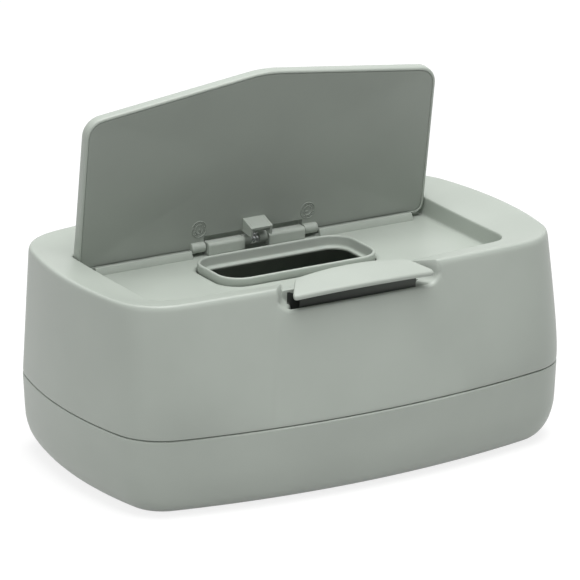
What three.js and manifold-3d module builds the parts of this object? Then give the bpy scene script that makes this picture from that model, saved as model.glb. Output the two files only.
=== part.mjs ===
import * as THREE from 'three';
import { mergeVertices } from 'three/addons/utils/BufferGeometryUtils.js';
import Module from 'manifold-3d';

// Wipes box, in millimetres. A tub carries an upper shell whose sunk deck holds a hinged lid
// over a collared slot, and a push button stands in a finger pocket at the front.
// Origin: middle of the footprint, on the surface the box stands on. +Z is up, -Y is the front.

// Outline of the box where tub and shell meet, and at the top of the shell. Half widths and
// half depths first, then the radii of the long, end and corner arcs.
const PARTING = {
  halfWidth: 130, front: 79.2, back: 85.4, frontArc: 473, backArc: 565, endArc: 226,
  frontCorner: 28.8, backCorner: 26.6, shiftY: 0,
};
const TOP = {
  halfWidth: 126.9, front: 64.5, back: 84.2, frontArc: 2000, backArc: 495, endArc: 208,
  frontCorner: 28.3, backCorner: 31.9, shiftY: 0.9,
};
const PARTING_Z = 41;
const TOP_Z = 107.5;
const EDGE_ROUND = 2;
const ARC_STEPS = 5;

const GAP = 0.3;
const WALL = 2.2;

// Tub
const FOOT_HEIGHT = 1;
const TUB_ROUND_WIDTH = 14;
const TUB_ROUND_HEIGHT = 22;
const TUB_DRAFT = 2;
const SPIGOT_HEIGHT = 4;
const SPIGOT_WALL = 1.6;
const FOOT_RADIUS = 6;
const FOOT_THICKNESS = 1.8;
const FOOT_X = 80;
const FOOT_Y = 42;

// Sunk deck and the recess of the lid
const DECK_Z = 103.1;
const DECK_INSET = 26;
const FLOOR_Z = 93.8;
const LID_CLEARANCE = 0.9;
const REAR_SWING_ROOM = 5.5;
const RECESS_REAR_CORNER = 7;

// Lid, described shut
const LID_HALF_WIDTH = 100.6;
const LID_SIDE_LENGTH = 79;
const LID_PEAK_LENGTH = 92;
const LID_REAR_OVERHANG = 2.5;
const LID_REAR_CORNER = 17;
const LID_FRONT_CORNER = 10;
const LID_PEAK_ROUND = 70;
const LID_THICKNESS = 6;
const LID_CROWN = 2.6;
const LID_WALL = 2;
const LINER_THICKNESS = 1.6;
const LID_OPEN_DEG = 81;

// Hinge
const AXIS_Y = 40;
const AXIS_Z = 98;
const PIN_RADIUS = 1.2;
const BLOCK_INNER_X = 7;
const BLOCK_OUTER_X = 28;
const BLOCK_FRONT = 4;
const BLOCK_BACK = 3.4;
const BLOCK_RISE = 2.4;
const KNUCKLE_LENGTH = 7;
const KNUCKLE_RADIUS = 2.7;
const RAIL_HALF_LENGTH = 92;
const RAIL_FRONT = 4.2;
const RAIL_DEPTH = 2.6;
const COIL_WIRE = 0.45;
const COIL_TURNS = 4;

// Hood on the lid's liner, over the spring
const HOOD_HALF_WIDTH = 6.3;
const HOOD_WALL = 1.3;
const HOOD_START = 4.2;
const HOOD_END = 11.4;
const HOOD_TOP_SLOPE = 2;
const HOOD_DEPTH = 7.4;

// Slot and its collar
const COLLAR_HALF_WIDTH = 45;
const COLLAR_FRONT_Y = -14;
const COLLAR_BACK_Y = 27.6;
const COLLAR_CORNER = 13;
const COLLAR_WALL = 1.7;
const COLLAR_TOP_Z = 97.5;
const COLLAR_BOTTOM_Z = 90.6;
const LEDGE_WIDTH = 2.4;
const LEDGE_THICKNESS = 1.4;

// Finger pocket
const POCKET_BACK_GAP = 2.2;
const POCKET_BACK_HALF = 38;
const POCKET_FRONT_HALF = 48;
const POCKET_LIP_Z = 96.4;
const POCKET_LIP_CORNER = 9;
const POCKET_FLOOR_Z = 91;
const POCKET_INNER_HALF = 37;

// Push button
const BUTTON_BACK_GAP = 1.6;
const BUTTON_BACK_HALF = 31;
const BUTTON_FRONT_HALF = 41;
const BUTTON_LENGTH = 15;
const BUTTON_BACK_Z = 110.4;
const BUTTON_FRONT_Z = 105.4;
const BUTTON_CROWN = 2;
const BUTTON_THICKNESS = 2.6;
const BUTTON_PIN_Y = -59;
const BUTTON_PIN_Z = 96;
const EAR_X = 16;
const EAR_WIDTH = 4;
const EAR_RADIUS = 3;
const BRACKET_WIDTH = 3;

const BOX_GREEN = 0x9ba59b;
const LINER_GREEN = 0x8f998f;
const DARK_GREY = 0x4a4d4b;
const STEEL = 0xb9bcbd;

const wasm = await Module();
wasm.setup();

// Joins and cuts

function toSolid(geometry) {
  const bare = geometry.clone();
  bare.deleteAttribute('normal');
  bare.deleteAttribute('uv');
  const merged = mergeVertices(bare, 1e-4);
  return new wasm.Manifold(new wasm.Mesh({
    numProp: 3,
    vertProperties: new Float32Array(merged.attributes.position.array),
    triVerts: new Uint32Array(merged.index.array),
  }));
}

function toGeometry(solid) {
  const mesh = solid.getMesh();
  const geometry = new THREE.BufferGeometry();
  geometry.setAttribute('position', new THREE.BufferAttribute(new Float32Array(mesh.vertProperties), 3));
  geometry.setIndex(new THREE.BufferAttribute(new Uint32Array(mesh.triVerts), 1));
  geometry.computeVertexNormals();
  return geometry;
}

// Outlines as lists of [x, y]

function quarterOutline(a, b, longArc, endArc, corner) {
  const longCentre = new THREE.Vector2(0, b - longArc);
  const endCentre = new THREE.Vector2(a - endArc, 0);
  const toEnd = endCentre.clone().sub(longCentre);
  const distance = toEnd.length();
  const along = ((longArc - corner) ** 2 - (endArc - corner) ** 2 + distance ** 2) / (2 * distance);
  const aside = Math.sqrt(Math.max((longArc - corner) ** 2 - along ** 2, 0));
  toEnd.divideScalar(distance);
  const side = new THREE.Vector2(-toEnd.y, toEnd.x);
  const foot = longCentre.clone().addScaledVector(toEnd, along);
  const one = foot.clone().addScaledVector(side, aside);
  const other = foot.clone().addScaledVector(side, -aside);
  const cornerCentre = one.x + one.y > other.x + other.y ? one : other;
  const firstAngle = cornerCentre.clone().sub(longCentre).angle();
  const lastAngle = cornerCentre.clone().sub(endCentre).angle();
  return [
    ...arc(longCentre, longArc, Math.PI / 2, firstAngle),
    ...arc(cornerCentre, corner, firstAngle, lastAngle).slice(1),
    ...arc(endCentre, endArc, lastAngle, 0).slice(1),
  ];
}

function arc(centre, radius, from, to) {
  const points = [];
  for (let i = 0; i <= ARC_STEPS; i += 1) {
    const angle = from + ((to - from) * i) / ARC_STEPS;
    points.push([centre.x + radius * Math.cos(angle), centre.y + radius * Math.sin(angle)]);
  }
  return points;
}

// Whole outline of the box, drawn in by `inset`, anticlockwise from the front's middle.
function boxOutline(size, inset) {
  const quarter = (depth, longArc, corner) => quarterOutline(
    size.halfWidth - inset, depth - inset, longArc - inset, size.endArc - inset, corner - inset);
  const front = quarter(size.front, size.frontArc, size.frontCorner);
  const back = quarter(size.back, size.backArc, size.backCorner);
  const right = front.map(([x, y]) => [x, -y]).concat([...back].reverse().slice(1));
  const left = right.slice(1, -1).reverse().map(([x, y]) => [-x, y]);
  return right.concat(left).map(([x, y]) => [x, y + size.shiftY]);
}

// Size of the box outline at height z on the shell's tapering wall.
function sizeAt(z) {
  const share = (z - PARTING_Z) / (TOP_Z - PARTING_Z);
  const size = {};
  for (const key of Object.keys(PARTING)) size[key] = PARTING[key] + (TOP[key] - PARTING[key]) * share;
  return size;
}

// A closed polygon with its corners rounded: each corner is [x, y, radius].
function roundedPolygon(corners, steps = ARC_STEPS) {
  const points = [];
  corners.forEach(([x, y, radius], i) => {
    const here = new THREE.Vector2(x, y);
    const before = corners[(i + corners.length - 1) % corners.length];
    const after = corners[(i + 1) % corners.length];
    const inward = new THREE.Vector2(before[0], before[1]).sub(here).normalize();
    const outward = new THREE.Vector2(after[0], after[1]).sub(here).normalize();
    const half = Math.acos(THREE.MathUtils.clamp(inward.dot(outward), -1, 1)) / 2;
    if (radius === 0) {
      points.push([x, y]);
      return;
    }
    const centre = here.clone().addScaledVector(inward.clone().add(outward).normalize(), radius / Math.sin(half));
    const from = here.clone().addScaledVector(inward, radius / Math.tan(half)).sub(centre).angle();
    let turn = here.clone().addScaledVector(outward, radius / Math.tan(half)).sub(centre).angle() - from;
    if (turn > Math.PI) turn -= 2 * Math.PI;
    if (turn < -Math.PI) turn += 2 * Math.PI;
    for (let k = 0; k <= steps; k += 1) {
      const angle = from + (turn * k) / steps;
      points.push([centre.x + radius * Math.cos(angle), centre.y + radius * Math.sin(angle)]);
    }
  });
  return points;
}

// Outline of the shut lid grown by `grow`.
function lidOutline(grow, rear = 0, rearCorner = LID_REAR_CORNER + grow) {
  const halfWidth = LID_HALF_WIDTH + grow;
  const rearY = AXIS_Y + LID_REAR_OVERHANG + grow + rear;
  const sideY = AXIS_Y - LID_SIDE_LENGTH - grow;
  const peakY = AXIS_Y - LID_PEAK_LENGTH - grow;
  return roundedPolygon([
    [halfWidth, rearY, rearCorner],
    [-halfWidth, rearY, rearCorner],
    [-halfWidth, sideY, LID_FRONT_CORNER + grow],
    [0, peakY, LID_PEAK_ROUND + grow],
    [halfWidth, sideY, LID_FRONT_CORNER + grow],
  ]);
}

// Outline of the recess: the lid's, with room behind for its rear edge to swing down.
function recessOutline(grow) {
  return lidOutline(LID_CLEARANCE + grow, REAR_SWING_ROOM, RECESS_REAR_CORNER + grow);
}

function collarOutline(inset) {
  const halfWidth = COLLAR_HALF_WIDTH - inset;
  const corner = COLLAR_CORNER - inset;
  return roundedPolygon([
    [halfWidth, COLLAR_BACK_Y - inset, corner],
    [-halfWidth, COLLAR_BACK_Y - inset, corner],
    [-halfWidth, COLLAR_FRONT_Y + inset, corner],
    [halfWidth, COLLAR_FRONT_Y + inset, corner],
  ]);
}

// Bodies from outlines

function prismZ(outline, low, high) {
  const shape = new THREE.Shape(outline.map(([x, y]) => new THREE.Vector2(x, y)));
  const geometry = new THREE.ExtrudeGeometry(shape, { depth: high - low, bevelEnabled: false, steps: 1 });
  return toSolid(geometry.translate(0, 0, low));
}

// A profile of [y, z] points carried along X from low to high.
function prismX(profile, low, high) {
  const shape = new THREE.Shape(profile.map(([y, z]) => new THREE.Vector2(y, z)));
  const geometry = new THREE.ExtrudeGeometry(shape, { depth: high - low, bevelEnabled: false, steps: 1 });
  const turn = new THREE.Matrix4().makeBasis(
    new THREE.Vector3(0, 1, 0), new THREE.Vector3(0, 0, 1), new THREE.Vector3(1, 0, 0));
  return toSolid(geometry.applyMatrix4(turn).translate(low, 0, 0));
}

// A profile of [x, z] points carried along Y from low to high.
function prismY(profile, low, high) {
  const shape = new THREE.Shape(profile.map(([x, z]) => new THREE.Vector2(x, z)));
  const geometry = new THREE.ExtrudeGeometry(shape, { depth: high - low, bevelEnabled: false, steps: 1 });
  return toSolid(geometry.rotateX(Math.PI / 2).translate(0, high, 0));
}

function box(lowX, highX, lowY, highY, lowZ, highZ) {
  const geometry = new THREE.BoxGeometry(highX - lowX, highY - lowY, highZ - lowZ);
  return toSolid(geometry.translate((lowX + highX) / 2, (lowY + highY) / 2, (lowZ + highZ) / 2));
}

function rodX(y, z, radius, low, high, sides = 20) {
  const geometry = new THREE.CylinderGeometry(radius, radius, high - low, sides);
  return toSolid(geometry.rotateZ(Math.PI / 2).translate((low + high) / 2, y, z));
}

// Rings of equally many [x, y] points joined from the lowest to the highest and capped.
function loft(rings) {
  const count = rings[0].outline.length;
  const positions = [];
  const faces = [];
  for (const ring of rings) for (const [x, y] of ring.outline) positions.push(x, y, ring.z);
  for (let r = 0; r + 1 < rings.length; r += 1) {
    for (let i = 0; i < count; i += 1) {
      const a = r * count + i;
      const b = r * count + ((i + 1) % count);
      faces.push(a, b, b + count, a, b + count, a + count);
    }
  }
  const addCap = (ring, start, up) => {
    const centre = positions.length / 3;
    const middleY = ring.outline.reduce((sum, point) => sum + point[1], 0) / count;
    positions.push(0, middleY, ring.z);
    for (let i = 0; i < count; i += 1) {
      const a = start + i;
      const b = start + ((i + 1) % count);
      if (up) faces.push(centre, a, b);
      else faces.push(centre, b, a);
    }
  };
  addCap(rings[0], 0, false);
  addCap(rings[rings.length - 1], (rings.length - 1) * count, true);
  const geometry = new THREE.BufferGeometry();
  geometry.setAttribute('position', new THREE.Float32BufferAttribute(positions, 3));
  geometry.setIndex(faces);
  return toSolid(geometry);
}

// Tub

// How far the tub's wall is drawn in at height z: a slight draft and a large rounded foot.
function tubInset(z) {
  const draft = TUB_DRAFT * (1 - z / PARTING_Z);
  const down = THREE.MathUtils.clamp(1 - z / TUB_ROUND_HEIGHT, 0, 1);
  return draft + TUB_ROUND_WIDTH * (1 - Math.sqrt(1 - down * down));
}

function tubRings(inset, lowZ) {
  const heights = [0, 0.05, 0.13, 0.25, 0.45, 0.7, 1].map((share) => share * TUB_ROUND_HEIGHT);
  const levels = heights.filter((z) => z > lowZ + 0.5).concat(PARTING_Z);
  return levels.map((z) => ({ z, outline: boxOutline(PARTING, tubInset(z) + inset) }));
}

function makeTub() {
  const underside = { z: FOOT_HEIGHT, outline: boxOutline(PARTING, tubInset(FOOT_HEIGHT)) };
  const outer = loft([underside, ...tubRings(0, FOOT_HEIGHT)]);
  const floorZ = FOOT_HEIGHT + FOOT_THICKNESS + WALL / 2;
  const floorRing = { z: floorZ, outline: boxOutline(PARTING, tubInset(floorZ) + WALL) };
  const innerRings = [floorRing, ...tubRings(WALL, floorZ)];
  innerRings.push({ z: PARTING_Z + 1, outline: boxOutline(PARTING, WALL) });
  const spigotInset = WALL + GAP;
  const spigotOuter = boxOutline(PARTING, spigotInset);
  const spigotInner = boxOutline(PARTING, spigotInset + SPIGOT_WALL);
  const top = PARTING_Z + SPIGOT_HEIGHT;
  const spigot = loft([
    { z: PARTING_Z - SPIGOT_HEIGHT, outline: boxOutline(PARTING, spigotInset - 2 * GAP) },
    { z: PARTING_Z, outline: spigotOuter },
    { z: top, outline: boxOutline(sizeAt(top), spigotInset) },
  ]);
  const hollow = loft([
    { z: PARTING_Z - SPIGOT_HEIGHT - 1, outline: spigotInner },
    { z: top + 1, outline: boxOutline(sizeAt(top), spigotInset + SPIGOT_WALL) },
  ]);
  let tub = outer.subtract(loft(innerRings)).add(spigot.subtract(hollow));
  for (const [x, y] of footPlaces()) {
    const pocket = new THREE.CylinderGeometry(FOOT_RADIUS + GAP, FOOT_RADIUS + GAP, FOOT_THICKNESS + GAP, 24);
    tub = tub.subtract(toSolid(pocket.rotateX(Math.PI / 2).translate(x, y, (FOOT_THICKNESS + GAP) / 2)));
  }
  return tub;
}

function footPlaces() {
  return [[-FOOT_X, -FOOT_Y], [FOOT_X, -FOOT_Y], [-FOOT_X, FOOT_Y], [FOOT_X, FOOT_Y]];
}

function makeFoot() {
  const profile = [
    [0, 0], [FOOT_RADIUS - 0.6, 0], [FOOT_RADIUS, 0.6], [FOOT_RADIUS, FOOT_THICKNESS], [0, FOOT_THICKNESS],
  ];
  const points = profile.map(([radius, z]) => new THREE.Vector2(radius, z));
  return new THREE.LatheGeometry(points, 20).rotateX(Math.PI / 2);
}

// Upper shell

function shellRings(inset) {
  const levels = [PARTING_Z + GAP, 62, 84, TOP_Z - EDGE_ROUND];
  return levels.map((z) => ({ z, outline: boxOutline(sizeAt(z), inset) }));
}

function shellOuter() {
  return loft([
    ...shellRings(0),
    { z: TOP_Z - 0.3 * EDGE_ROUND, outline: boxOutline(TOP, 0.3 * EDGE_ROUND) },
    { z: TOP_Z, outline: boxOutline(TOP, EDGE_ROUND) },
    { z: (TOP_Z + DECK_Z) / 2 - 0.4, outline: boxOutline(TOP, DECK_INSET / 2) },
    { z: DECK_Z, outline: boxOutline(TOP, DECK_INSET) },
  ]);
}

function shellHollow() {
  return loft([
    { z: PARTING_Z - 1, outline: boxOutline(PARTING, WALL) },
    { z: PARTING_Z, outline: boxOutline(PARTING, WALL) },
    { z: PARTING_Z + SPIGOT_HEIGHT, outline: boxOutline(sizeAt(PARTING_Z + SPIGOT_HEIGHT), WALL) },
    ...shellRings(WALL).slice(1),
    { z: TOP_Z - WALL, outline: boxOutline(TOP, WALL + EDGE_ROUND) },
    { z: DECK_Z - WALL, outline: boxOutline(TOP, DECK_INSET) },
  ]);
}

// Finger pocket: the slot in the front wall and deck, and the deeper well under the button.
function pocketBody(grow) {
  const backY = recessPeakY() - POCKET_BACK_GAP + grow;
  const frontY = -PARTING.front - grow;
  const slant = (POCKET_FRONT_HALF - POCKET_BACK_HALF) / (backY + TOP.front);
  const farHalf = POCKET_BACK_HALF + slant * (backY - frontY);
  const plan = [
    [-POCKET_BACK_HALF - grow, backY], [-farHalf - grow, frontY],
    [farHalf + grow, frontY], [POCKET_BACK_HALF + grow, backY],
  ];
  const face = roundedPolygon([
    [-POCKET_FRONT_HALF - grow, TOP_Z + 2, 0],
    [-POCKET_FRONT_HALF - grow, POCKET_LIP_Z - grow, POCKET_LIP_CORNER + grow],
    [POCKET_FRONT_HALF + grow, POCKET_LIP_Z - grow, POCKET_LIP_CORNER + grow],
    [POCKET_FRONT_HALF + grow, TOP_Z + 2, 0],
  ]);
  const wellHalf = POCKET_INNER_HALF + grow;
  const well = box(-wellHalf, wellHalf, -TOP.front - grow, backY, POCKET_FLOOR_Z - grow, TOP_Z + 1);
  return prismZ(plan, POCKET_LIP_Z - grow, TOP_Z + 2).intersect(prismY(face, frontY - 1, backY + 1)).add(well);
}

// Room over the low sill between recess and pocket, under the button's rear edge.
function buttonSill() {
  const share = 1 - POCKET_BACK_HALF / LID_HALF_WIDTH;
  const sideY = AXIS_Y - LID_SIDE_LENGTH - (LID_PEAK_LENGTH - LID_SIDE_LENGTH) * share;
  const frontY = recessPeakY() - POCKET_BACK_GAP - 1;
  return box(-POCKET_BACK_HALF, POCKET_BACK_HALF, frontY, sideY, DECK_Z + GAP, TOP_Z + 1);
}

function recessPeakY() {
  return AXIS_Y - LID_PEAK_LENGTH - LID_CLEARANCE;
}

function buttonBracket(low) {
  const top = BUTTON_PIN_Z + EAR_RADIUS;
  const front = BUTTON_PIN_Y - EAR_RADIUS;
  const back = BUTTON_PIN_Y + EAR_RADIUS;
  const profile = [
    [front, POCKET_FLOOR_Z - 0.5], [back, POCKET_FLOOR_Z - 0.5], [back, top - 1.5],
    [BUTTON_PIN_Y + 1.5, top], [BUTTON_PIN_Y - 1.5, top], [front, top - 1.5],
  ];
  return prismX(profile, low, low + BRACKET_WIDTH);
}

function hingeRail(low, high) {
  const front = AXIS_Y - RAIL_FRONT;
  const top = AXIS_Z - 0.5;
  const back = front + RAIL_DEPTH;
  const profile = [
    [front, FLOOR_Z - 0.5], [back, FLOOR_Z - 0.5], [back, top], [front + 1.6, top], [front, FLOOR_Z + 0.2],
  ];
  return prismX(profile, low, high);
}

function makeShell() {
  const recess = prismZ(recessOutline(0), FLOOR_Z, TOP_Z + 2);
  const recessWall = prismZ(recessOutline(WALL), FLOOR_Z - WALL, TOP_Z + 2);
  const hollow = shellHollow().subtract(recessWall).subtract(pocketBody(WALL));
  const knuckleEnd = BLOCK_OUTER_X + KNUCKLE_LENGTH + 2;
  let shell = shellOuter().subtract(hollow).subtract(recess).subtract(pocketBody(0));
  shell = shell.subtract(prismZ(collarOutline(-GAP), FLOOR_Z - WALL - 1, FLOOR_Z + 1));
  const hoodHalf = BLOCK_INNER_X + GAP;
  const hoodBack = AXIS_Y + BLOCK_BACK;
  shell = shell.subtract(box(-hoodHalf, hoodHalf, COLLAR_BACK_Y, hoodBack, FLOOR_Z - WALL - 1, FLOOR_Z + 1));
  shell = shell.add(hingeRail(knuckleEnd, RAIL_HALF_LENGTH)).add(hingeRail(-RAIL_HALF_LENGTH, -knuckleEnd));
  for (const low of bracketStarts()) shell = shell.add(buttonBracket(low));
  shell = shell.subtract(buttonSill());
  return shell.subtract(rodX(BUTTON_PIN_Y, BUTTON_PIN_Z, PIN_RADIUS + GAP, -pinEnd() - GAP, pinEnd() + GAP));
}

function bracketStarts() {
  const start = EAR_X + EAR_WIDTH / 2 + 2 * GAP;
  return [start, -start - BRACKET_WIDTH];
}

function pinEnd() {
  return EAR_X + EAR_WIDTH / 2 + 2 * GAP + BRACKET_WIDTH - GAP;
}

// Slot collar: an upright ring through the deck with a ledge at its foot.
function makeCollar() {
  const ring = prismZ(collarOutline(0), COLLAR_BOTTOM_Z, COLLAR_TOP_Z - 0.6)
    .add(loft([{ z: COLLAR_TOP_Z - 0.7, outline: collarOutline(0) }, { z: COLLAR_TOP_Z, outline: collarOutline(0.4) }]));
  const upper = prismZ(collarOutline(COLLAR_WALL), COLLAR_BOTTOM_Z + LEDGE_THICKNESS, COLLAR_TOP_Z + 1);
  const lower = prismZ(collarOutline(COLLAR_WALL + LEDGE_WIDTH), COLLAR_BOTTOM_Z - 1, COLLAR_TOP_Z);
  return ring.subtract(upper).subtract(lower);
}

// Hinge

function makeHingeBlock(low, high) {
  const front = AXIS_Y - BLOCK_FRONT;
  const back = AXIS_Y + BLOCK_BACK;
  const top = AXIS_Z + BLOCK_RISE;
  const foot = FLOOR_Z + GAP;
  const profile = roundedPolygon([[front, foot, 0], [back, foot, 0], [back, top, 1.6], [front, top, 2]], 4);
  return prismX(profile, low, high).subtract(rodX(AXIS_Y, AXIS_Z, PIN_RADIUS + GAP, low - 1, high + 1));
}

function makeHingePin() {
  return rodX(AXIS_Y, AXIS_Z, PIN_RADIUS, -hingePinEnd(), hingePinEnd());
}

function hingePinEnd() {
  return BLOCK_OUTER_X + KNUCKLE_LENGTH;
}

// Torsion spring: a coil round the pin with a leg down to each hinge block.
function makeSpring() {
  const radius = PIN_RADIUS + GAP + COIL_WIRE;
  const half = BLOCK_INNER_X - 1.4;
  const points = [];
  const stepsPerTurn = 10;
  for (let i = 0; i <= COIL_TURNS * stepsPerTurn; i += 1) {
    const angle = -Math.PI / 2 + (2 * Math.PI * i) / stepsPerTurn;
    const x = -half + (2 * half * i) / (COIL_TURNS * stepsPerTurn);
    points.push(new THREE.Vector3(x, AXIS_Y + radius * Math.cos(angle), AXIS_Z + radius * Math.sin(angle)));
  }
  const path = new THREE.CatmullRomCurve3(points);
  const section = new THREE.Shape();
  section.absarc(0, 0, COIL_WIRE, 0, 2 * Math.PI);
  const steps = COIL_TURNS * 12;
  return new THREE.ExtrudeGeometry(section, { extrudePath: path, steps, bevelEnabled: false, curveSegments: 3 });
}

// Lid, shut; it is turned open about the hinge axis below.

function notch(grow) {
  const end = BLOCK_OUTER_X + GAP * 2 + grow;
  const front = AXIS_Y - BLOCK_FRONT - 1.2 - grow;
  const top = AXIS_Z + LID_THICKNESS + LID_CROWN + 1;
  return box(-end, end, front, AXIS_Y + LID_REAR_OVERHANG + 1, AXIS_Z - 4, top);
}

function makeLidCover() {
  const rim = AXIS_Z + LID_THICKNESS;
  const cover = loft([
    { z: AXIS_Z, outline: lidOutline(0) },
    { z: rim - 1.4, outline: lidOutline(0) },
    { z: rim - 0.4, outline: lidOutline(-0.4) },
    { z: rim, outline: lidOutline(-1.6) },
    { z: rim + 0.45 * LID_CROWN, outline: scaledOutline(0.88) },
    { z: rim + 0.8 * LID_CROWN, outline: scaledOutline(0.62) },
    { z: rim + LID_CROWN, outline: scaledOutline(0.3) },
  ]);
  const inside = prismZ(lidOutline(-LID_WALL), AXIS_Z - 1, rim - LID_WALL)
    .subtract(notch(LID_WALL)).subtract(knuckles(LID_WALL));
  const body = cover.subtract(inside).subtract(notch(0)).add(knuckles(0).subtract(notch(0)));
  const boreEnd = hingePinEnd() + GAP;
  return body.subtract(rodX(AXIS_Y, AXIS_Z, PIN_RADIUS + GAP, -boreEnd, boreEnd));
}

function scaledOutline(share) {
  const middle = AXIS_Y - LID_PEAK_LENGTH / 2 + 3;
  return lidOutline(-1.6).map(([x, y]) => [x * share, middle + (y - middle) * share]);
}

function knuckles(grow) {
  const end = BLOCK_OUTER_X + KNUCKLE_LENGTH + 1.5 + grow;
  return rodX(AXIS_Y, AXIS_Z, KNUCKLE_RADIUS + grow, -end, end);
}

function makeLidLiner() {
  const plate = prismZ(lidOutline(-LID_WALL - GAP), AXIS_Z, AXIS_Z + LINER_THICKNESS)
    .subtract(notch(LID_WALL + GAP)).subtract(knuckles(LID_WALL + GAP));
  const start = AXIS_Y - HOOD_START;
  const end = AXIS_Y - HOOD_END;
  const join = AXIS_Z + LINER_THICKNESS / 2;
  const tip = AXIS_Z - HOOD_DEPTH;
  const side = [[start, join], [end, join], [end + HOOD_TOP_SLOPE, tip], [start - 0.4, tip]];
  const hollow = [
    [start + 1, AXIS_Z], [end + HOOD_WALL, AXIS_Z], [end + HOOD_TOP_SLOPE + HOOD_WALL, tip - 1], [start + 1, tip - 1],
  ];
  const hood = prismX(side, -HOOD_HALF_WIDTH, HOOD_HALF_WIDTH);
  const inner = HOOD_HALF_WIDTH - HOOD_WALL;
  const carrierBack = AXIS_Y - BLOCK_FRONT - 1.2 - LID_WALL;
  const carrier = box(-HOOD_HALF_WIDTH, HOOD_HALF_WIDTH, end, carrierBack, AXIS_Z, AXIS_Z + LINER_THICKNESS);
  return plate.add(carrier).add(clipHood(hood)).subtract(prismX(hollow, -inner, inner));
}

// The hood keeps clear of the lid cover's wall round the notch.
function clipHood(hood) {
  const wallFront = AXIS_Y - BLOCK_FRONT - 1.2 - LID_WALL - GAP;
  return hood.subtract(box(-20, 20, wallFront, AXIS_Y + 5, AXIS_Z - GAP, AXIS_Z + LID_THICKNESS));
}

// Push button

function makeButton() {
  const backY = recessPeakY() - BUTTON_BACK_GAP;
  const frontY = backY - BUTTON_LENGTH;
  const columns = 14;
  const rows = 4;
  const grid = (drop) => {
    const points = [];
    for (let j = 0; j <= rows; j += 1) {
      const v = j / rows;
      const half = BUTTON_BACK_HALF + (BUTTON_FRONT_HALF - BUTTON_BACK_HALF) * v;
      for (let i = 0; i <= columns; i += 1) {
        const s = (2 * i) / columns - 1;
        const fall = (BUTTON_FRONT_Z - BUTTON_BACK_Z) * v ** 1.3;
        const z = BUTTON_BACK_Z + fall - BUTTON_CROWN * s * s * (1 - 0.5 * v) - drop;
        points.push([s * half, backY + (frontY - backY) * v - 1.5 * v * (1 - s * s) + 1 - s * s, z]);
      }
    }
    return points;
  };
  let button = slab(grid(0), grid(BUTTON_THICKNESS), columns, rows);
  for (const side of [-1, 1]) {
    const low = side * EAR_X - EAR_WIDTH / 2;
    const front = BUTTON_PIN_Y - EAR_RADIUS;
    const back = BUTTON_PIN_Y + EAR_RADIUS;
    const foot = BUTTON_PIN_Z - EAR_RADIUS;
    const top = BUTTON_BACK_Z - 4.6;
    const shape = roundedPolygon([[front, foot, 2], [back, foot, 2], [back, top, 0], [front, top, 0]], 4);
    button = button.add(prismX(shape, low, low + EAR_WIDTH));
  }
  return button.subtract(rodX(BUTTON_PIN_Y, BUTTON_PIN_Z, PIN_RADIUS + GAP, -pinEnd() - 1, pinEnd() + 1));
}

// A closed slab between two grids of equally many points, the upper one first.
function slab(upper, lower, columns, rows) {
  const stride = columns + 1;
  const count = upper.length;
  const faces = [];
  for (let j = 0; j < rows; j += 1) {
    for (let i = 0; i < columns; i += 1) {
      const a = j * stride + i;
      faces.push(a, a + stride, a + 1, a + 1, a + stride, a + stride + 1);
      faces.push(count + a, count + a + 1, count + a + stride, count + a + 1, count + a + stride + 1, count + a + stride);
    }
  }
  const edge = [];
  for (let i = 0; i < columns; i += 1) edge.push(i);
  for (let j = 0; j < rows; j += 1) edge.push(j * stride + columns);
  for (let i = columns; i > 0; i -= 1) edge.push(rows * stride + i);
  for (let j = rows; j > 0; j -= 1) edge.push(j * stride);
  edge.forEach((a, k) => {
    const b = edge[(k + 1) % edge.length];
    faces.push(a, b, count + b, a, count + b, count + a);
  });
  const geometry = new THREE.BufferGeometry();
  geometry.setAttribute('position', new THREE.Float32BufferAttribute(upper.concat(lower).flat(), 3));
  geometry.setIndex(faces);
  return toSolid(geometry);
}

function makeButtonPin() {
  return rodX(BUTTON_PIN_Y, BUTTON_PIN_Z, PIN_RADIUS, -pinEnd(), pinEnd());
}

// The assembly

const wipesBox = new THREE.Group();

function addMesh(name, geometry, color, roughness = 0.55, metalness = 0, parent = wipesBox) {
  const mesh = new THREE.Mesh(geometry, new THREE.MeshStandardMaterial({ color, roughness, metalness }));
  mesh.name = name;
  parent.add(mesh);
  return mesh;
}

addMesh('base_tub', toGeometry(makeTub()), BOX_GREEN);
addMesh('upper_shell', toGeometry(makeShell()), BOX_GREEN);
addMesh('slot_collar', toGeometry(makeCollar()), BOX_GREEN);
addMesh('hinge_block_left', toGeometry(makeHingeBlock(-BLOCK_OUTER_X, -BLOCK_INNER_X)), BOX_GREEN);
addMesh('hinge_block_right', toGeometry(makeHingeBlock(BLOCK_INNER_X, BLOCK_OUTER_X)), BOX_GREEN);
addMesh('hinge_pin', toGeometry(makeHingePin()), STEEL, 0.3, 1);
addMesh('hinge_spring', makeSpring(), STEEL, 0.3, 1);
addMesh('release_button', toGeometry(makeButton()), BOX_GREEN);
addMesh('button_pin', toGeometry(makeButtonPin()), STEEL, 0.3, 1);

const footNames = ['foot_front_left', 'foot_front_right', 'foot_rear_left', 'foot_rear_right'];
footPlaces().forEach(([x, y], i) => {
  addMesh(footNames[i], makeFoot(), DARK_GREY, 0.8).position.set(x, y, 0);
});

const openLid = new THREE.Group();
openLid.position.set(0, AXIS_Y, AXIS_Z);
openLid.rotation.x = -THREE.MathUtils.degToRad(LID_OPEN_DEG);
wipesBox.add(openLid);
const lidFrame = new THREE.Group();
lidFrame.position.set(0, -AXIS_Y, -AXIS_Z);
openLid.add(lidFrame);
addMesh('lid_cover', toGeometry(makeLidCover()), BOX_GREEN, 0.55, 0, lidFrame);
addMesh('lid_liner', toGeometry(makeLidLiner()), LINER_GREEN, 0.55, 0, lidFrame);

// The outline reaches further back than forward, so the whole is moved to stand over the origin.
wipesBox.position.y = (PARTING.front - PARTING.back) / 2;

export default wipesBox;
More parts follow.
